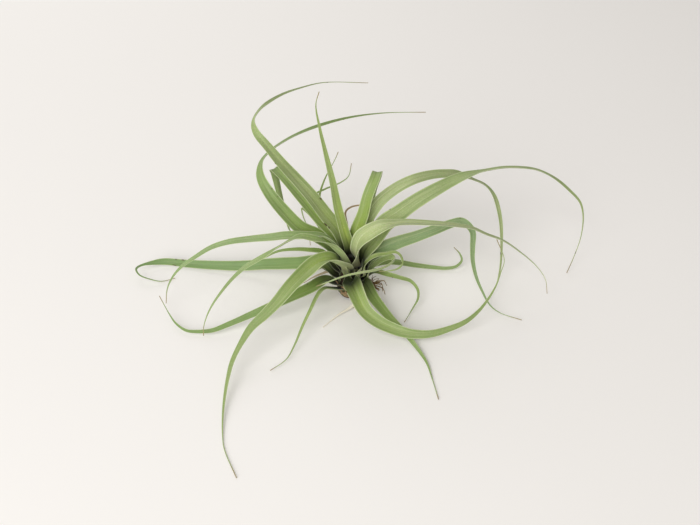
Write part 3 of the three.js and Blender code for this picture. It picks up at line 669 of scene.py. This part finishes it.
def scurfy_green_leaf():
    # Living leaf skin: soft green tissue, matt, yellower towards the stem, partly as young tissue and
    # partly as a painted glow of light through it. Painted shade lies near black in the throat, along the
    # sheath's groove and on the foot. A bloom of silver scales greys it, and it has pale thin margins, an
    # olive sheath and a dry brown thread at the tip.
    material, tree, shader = blank_material("scurfy_green_leaf", roughness=0.55, specular=0.35)
    f = leaf_fields(tree)
    f["upper"] = cover(tree, f, ("under", 0, 1, 1, 0))
    f["bloom"] = cover(tree, f, "silver", ("scales", 0.3, 0.7, 0.8, 1))
    for extra in (("under", 0, 1, 0, 0.15), ("streaks", 0.45, 0.7, 0, 0.2), ("scales", 0.5, 0.75, 0, 0.12)):
        f["bloom"] = add_node(tree, "ShaderNodeMath", {"operation": "ADD"},
                              {0: f["bloom"], 1: cover(tree, f, extra)}).outputs[0]
    colour = coated(tree, f, LEAF_GREEN, [
        # Yellower towards the stem and on the upper side: young tissue and a painted glow of light through
        # it.
        (YOUNG_GREEN_AND_GLOW, ("from_root", 12, 75, 1, 0), ("under", 0, 1, 0.95, 0.4)),
        (BLUE_GREEN, "blue"),
        (SHADE_GREEN, ("patches", 0.4, 0.7, 0, 0.3)),
        (SCALE_SILVER, ("bloom", 0, 1, 0, 0.9)),
        (VEIN_GREEN, ("veins", 0.42, 0.62, 0, 0.35)),
        (SHADE_GREEN, ("edge", 0.35, 0.85, 0, 0.28)),
        (MARGIN_PALE, ("edge", 0.86, 0.96, 0, 0.62)),
        (SPOT_BROWN, ("spots", 0.715, 0.75, 0, 1), ("edge", 0.6, 0.9, 0, 1)),
        (SHEATH_OLIVE, ("from_root", 3, 20, 0.85, 0), ("throat_shade", 0, 1, 1, 0.4)),
        # Painted shade: the groove along the middle of the sheath's upper side, then the whole throat as
        # deep as each leaf's throat shade.
        (PAINTED_THROAT_SHADE, ("from_root", 8, 26, 0.8, 0), ("edge", 0, 0.14, 1, 0), "upper"),
        (PAINTED_THROAT_SHADE, ("from_root", 4, 24, 0.95, 0), "upper", "throat_shade"),
        # Painted shade: the sheath's foot goes near black down in the hollow at the stem, less at its rims.
        (PAINTED_FOOT_SHADE, ("from_root", 1, 10, 0.97, 0), ("edge", 0.7, 0.95, 1, 0.3), ("under", 0, 1, 1, 0.65)),
        (DRY_THREAD, ("reach", 0.93, 0.99, 0, 0.85)),
    ])
    tree.links.new(colour, shader.inputs["Base Color"])
    tree.links.new(cover(tree, f, ("scales", 0.3, 0.7, 0.48, 0.66)), shader.inputs["Roughness"])
    height = add_node(tree, "ShaderNodeMath", {"operation": "MULTIPLY_ADD"},
                      {0: f["scales"], 1: 0.35, 2: f["veins"]}).outputs[0]
    bump = add_node(tree, "ShaderNodeBump", {}, {"Strength": 0.35, "Distance": 0.25 * MM, "Height": height})
    tree.links.new(bump.outputs[0], shader.inputs["Normal"])
    shader.inputs["Sheen Weight"].default_value = 0.12
    shader.inputs["Sheen Roughness"].default_value = 0.5
    shader.inputs["Subsurface Weight"].default_value = 0.12
    shader.inputs["Subsurface Radius"].default_value = (0.5, 1.0, 0.2)
    shader.inputs["Subsurface Scale"].default_value = 1.0 * MM
    return material


def dried_leaf():
    # A leaf that has died on the plant: straw brown, ridged along its veins, with no gloss.
    material, tree, shader = blank_material("dried_brown_leaf", roughness=0.85, specular=0.2)
    f = leaf_fields(tree)
    colour = coated(tree, f, DEAD_BROWN, [
        (DEAD_STRAW, ("veins", 0.35, 0.7, 0, 1)),
        (DEAD_BLOTCH, ("patches", 0.45, 0.7, 0, 0.5)),
        (BLEACHED_STRAW, "silver"),
    ])
    tree.links.new(colour, shader.inputs["Base Color"])
    bump = add_node(tree, "ShaderNodeBump", {},
                    {"Strength": 0.6, "Distance": 0.3 * MM, "Height": f["veins"]})
    tree.links.new(bump.outputs[0], shader.inputs["Normal"])
    return material


green_leaf = scurfy_green_leaf()
brown_leaf = dried_leaf()
for seed, (name, leaf) in enumerate(LEAVES.items()):
    blade = leaf_blade(name, leaf, seed)
    dry = leaf.get("dry", False)
    blade.data.materials.append(brown_leaf if dry else green_leaf)
    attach(blade, "root")
    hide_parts(name)

# ---------------------------------------------------------------------------------------------------
# Roots. A tuft of dark brown wires as stiff as horsehair, grown from a woody knot at the right of the
# stem's foot. They once held the plant to a branch; now they only kink and curl.

KNOT_CENTRE = (12.3, -1, 7.5)
KNOT_RADIUS = 2.6
KNOT_LUMPS = 0.35 * MM
ROOT_ROUTES = [
    [(14, -1, 8), (18, -2, 11.5), (21.5, -3, 11), (22, -6, 7)],
    [(14, -1, 8), (18, 2, 5), (22.5, 1.5, 3), (24, -3, 1.5)],
    [(14, -1, 8), (18.5, 0, 9.5), (23, 0.5, 11), (25, -2.5, 9)],
    [(14, -1, 8), (16.5, -4, 5), (20, -7, 2), (23, -11, 1.2)],
    [(14, -1, 8), (18, -2, 6), (20, 1, 1.5), (16, 6, 1.2)],
]
ROOT_RADIUS = 0.5 * MM
ROOT_TAPER = 0.6
ROUTE_STRIDE = 8
# Fine roots start about the top right of the knot and kink at every step. Places and steps are in mm.
FINE_ROOTS = 34
FINE_RADIUS = ROOT_RADIUS * 0.6
FINE_START = ((12.5, 15), (-3.5, 0))
FINE_START_HEIGHT = 9.3
FINE_HEADING = ((0.6, 1.2), (-0.8, 0.3), (-0.2, 0.6))
FINE_STEPS = 5
FINE_STEP = (1, 2.2)
FINE_KINK = 0.8
FINE_LOWEST = 1
FINE_HIGHEST = 13.5

ROOT_BROWN = "#5F4627"
ROOT_TIP = "#A98D60"
# Repeats to the metre: the skin has peeled in flakes of about 2 mm.
ROOT_PEEL = 500.0


def wiry_root_skin():
    # Dead root skin: red-brown fibre, matt, with paler scuffs where the outer skin has peeled.
    material, tree, shader = blank_material("wiry_root_skin", roughness=0.8, specular=0.3)
    coords = add_node(tree, "ShaderNodeTexCoord").outputs["Object"]
    peel = add_node(tree, "ShaderNodeTexNoise", {},
                    {"Vector": coords, "Scale": ROOT_PEEL, "Detail": 4.0}).outputs[0]
    colour = coated(tree, {"peel": peel}, ROOT_BROWN, [(ROOT_TIP, ("peel", 0.4, 0.7, 0, 1))])
    tree.links.new(colour, shader.inputs["Base Color"])
    bump = add_node(tree, "ShaderNodeBump", {}, {"Strength": 0.6, "Distance": 0.2 * MM, "Height": peel})
    tree.links.new(bump.outputs[0], shader.inputs["Normal"])
    return material


def root_wire(route, radius):
    """One tapering root along a route in mm, as a closed tube."""
    curve = bpy.data.curves.new("wire", "CURVE")
    curve.dimensions = "3D"
    curve.bevel_depth = radius
    curve.bevel_resolution = 1
    curve.use_fill_caps = True
    places = smooth_route(route)[::ROUTE_STRIDE]
    spline = curve.splines.new("POLY")
    spline.points.add(len(places) - 1)
    for i, place in enumerate(places):
        spline.points[i].co = (*(place * MM), 1)
        spline.points[i].radius = 1 - ROOT_TAPER * i / (len(places) - 1)
    wire = bpy.data.objects.new("wire", curve)
    bpy.context.collection.objects.link(wire)
    only(wire)
    bpy.ops.object.convert(target="MESH")
    return bpy.context.object


root_rng = random.Random(11)
bpy.ops.object.select_all(action="DESELECT")
bpy.ops.mesh.primitive_uv_sphere_add(segments=24, ring_count=16, radius=KNOT_RADIUS * MM,
                                     location=[c * MM for c in KNOT_CENTRE])
knot = bpy.context.object
settle(knot)
bpy.ops.object.mode_set(mode="EDIT")
bpy.ops.mesh.select_all(action="SELECT")
bpy.ops.transform.vertex_random(offset=KNOT_LUMPS, seed=3)
bpy.ops.object.mode_set(mode="OBJECT")
bpy.ops.object.shade_smooth()
wires = [root_wire(route, ROOT_RADIUS) for route in ROOT_ROUTES]
for _ in range(FINE_ROOTS):
    route = [np.array([root_rng.uniform(*span) for span in FINE_START] + [FINE_START_HEIGHT])]
    heading = np.array([root_rng.uniform(*span) for span in FINE_HEADING])
    for _ in range(FINE_STEPS):
        heading = heading + [root_rng.uniform(-FINE_KINK, FINE_KINK) for _ in range(3)]
        place = route[-1] + heading / np.linalg.norm(heading) * root_rng.uniform(*FINE_STEP)
        place[2] = min(FINE_HIGHEST, max(FINE_LOWEST, place[2]))
        route.append(place)
    wires.append(root_wire(route, FINE_RADIUS))
roots = join([knot] + wires, "wiry_root_tuft")
roots.data.materials.clear()
roots.data.materials.append(wiry_root_skin())
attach(roots, "root")
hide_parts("roots")

# ---------------------------------------------------------------------------------------------------
# Table, light and camera. A plain pale matt table top in a pale room, with a broad soft light from the
# front left and a weak one bounced from behind, seen from in front and 40 degrees above.

TABLE_PALE = "#F3F0EC"
TABLE_SIZE = 8
ROOM_PALE = "#FCF9F6"
ROOM_STRENGTH = 0.42
LIGHTS = {
    "window_light": dict(place=(-0.8, -1.35, 1.1), turn=(55, 0, -31), size=1.6, energy=33),
    "bounced_light": dict(place=(-0.6, 1.1, 0.9), turn=(48, 0, -135), size=1.0, energy=6),
}
VIEW_ANGLE = math.radians(40)
VIEW_DISTANCE = 0.651
VIEW_CENTRE = (0, 0, 0.0275)
LENS = 50
SENSOR_WIDTH = 36
NEAREST_SEEN = 0.01

bpy.ops.object.select_all(action="DESELECT")
bpy.ops.mesh.primitive_plane_add(size=TABLE_SIZE)
table = bpy.context.object
table.name = "table_top"
# Flat paint: pale and matt, with hardly any gloss, so that it takes soft shadows and mirrors nothing.
table_paint, _, table_shader = blank_material("matt_pale_paint", roughness=0.9, specular=0.2)
table_shader.inputs["Base Color"].default_value = linear(TABLE_PALE)
table.data.materials.append(table_paint)

world = bpy.data.worlds.new("pale_room")
world.use_nodes = True
room = world.node_tree.nodes["Background"]
room.inputs["Color"].default_value = linear(ROOM_PALE)
room.inputs["Strength"].default_value = ROOM_STRENGTH
bpy.context.scene.world = world

for name, light in LIGHTS.items():
    bpy.ops.object.light_add(type="AREA", location=light["place"])
    lamp = bpy.context.object
    lamp.name = name
    lamp.rotation_euler = [math.radians(angle) for angle in light["turn"]]
    lamp.data.size = light["size"]
    lamp.data.energy = light["energy"]

bpy.ops.object.camera_add(
    location=(VIEW_CENTRE[0],
              VIEW_CENTRE[1] - VIEW_DISTANCE * math.cos(VIEW_ANGLE),
              VIEW_CENTRE[2] + VIEW_DISTANCE * math.sin(VIEW_ANGLE)),
    rotation=(math.pi / 2 - VIEW_ANGLE, 0, 0))
camera = bpy.context.object
camera.data.lens = LENS
camera.data.sensor_width = SENSOR_WIDTH
camera.data.clip_start = NEAREST_SEEN
bpy.context.scene.camera = camera
bpy.context.scene.view_settings.view_transform = "Standard"
